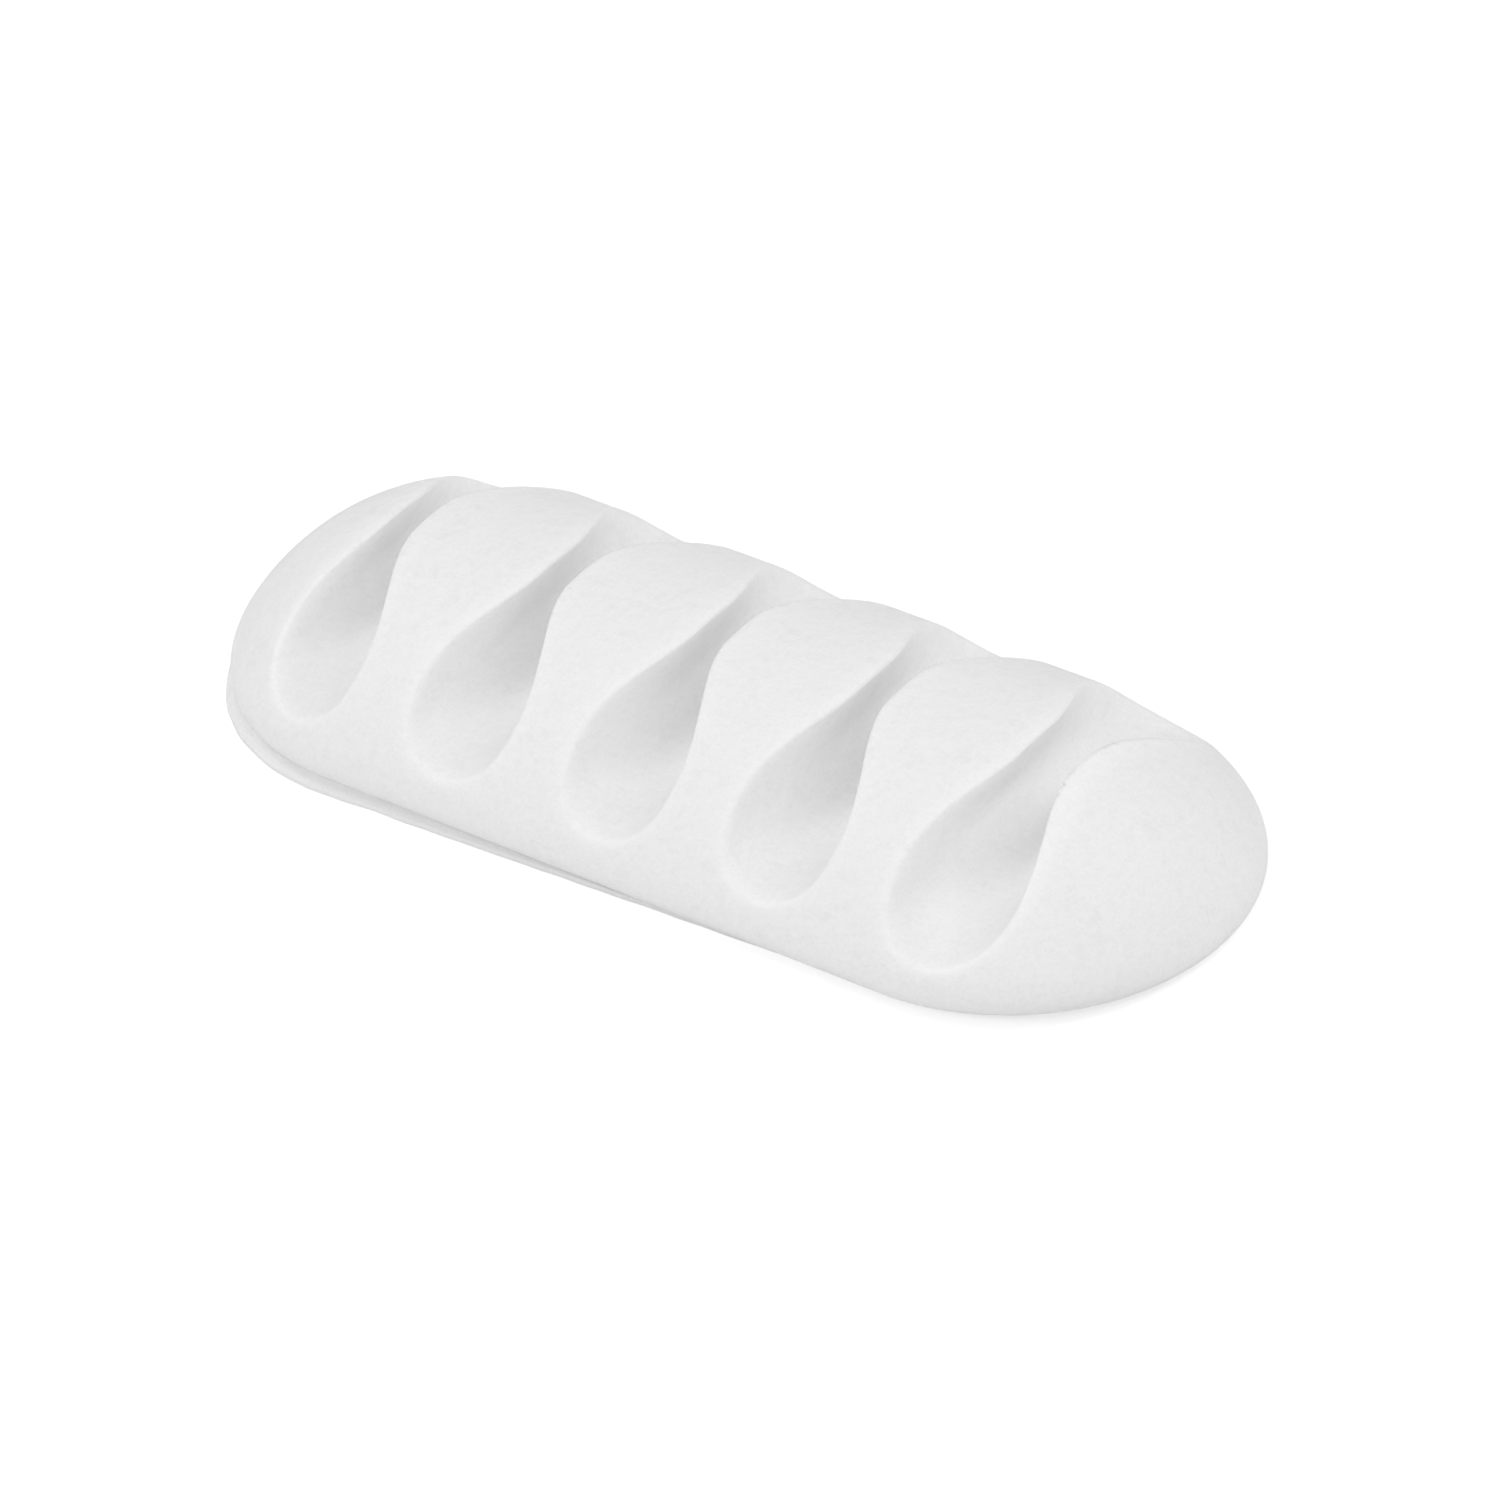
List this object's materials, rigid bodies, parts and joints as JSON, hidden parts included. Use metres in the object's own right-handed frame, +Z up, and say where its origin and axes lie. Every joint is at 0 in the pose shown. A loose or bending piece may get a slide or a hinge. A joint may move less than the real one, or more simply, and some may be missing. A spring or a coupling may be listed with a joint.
{
  "type": "adhesive cable clip",
  "caption": "Soft moulded loaf with a row of flared cable channels across it, on a foam adhesive pad",
  "frame": {"origin": "middle of the adhesive pad's underside", "axes": "X along the body, towards the wide channel; Y across it, along the channels; Z up"},
  "size_m": [0.0904, 0.0378, 0.0145],
  "materials": {
    "silicone": "matt white moulded silicone",
    "pad_foam": "matt white adhesive foam"
  },
  "bodies": {
    "root": {"clip_body": "silicone", "adhesive_pad": "pad_foam"}
  },
  "joints": []
}
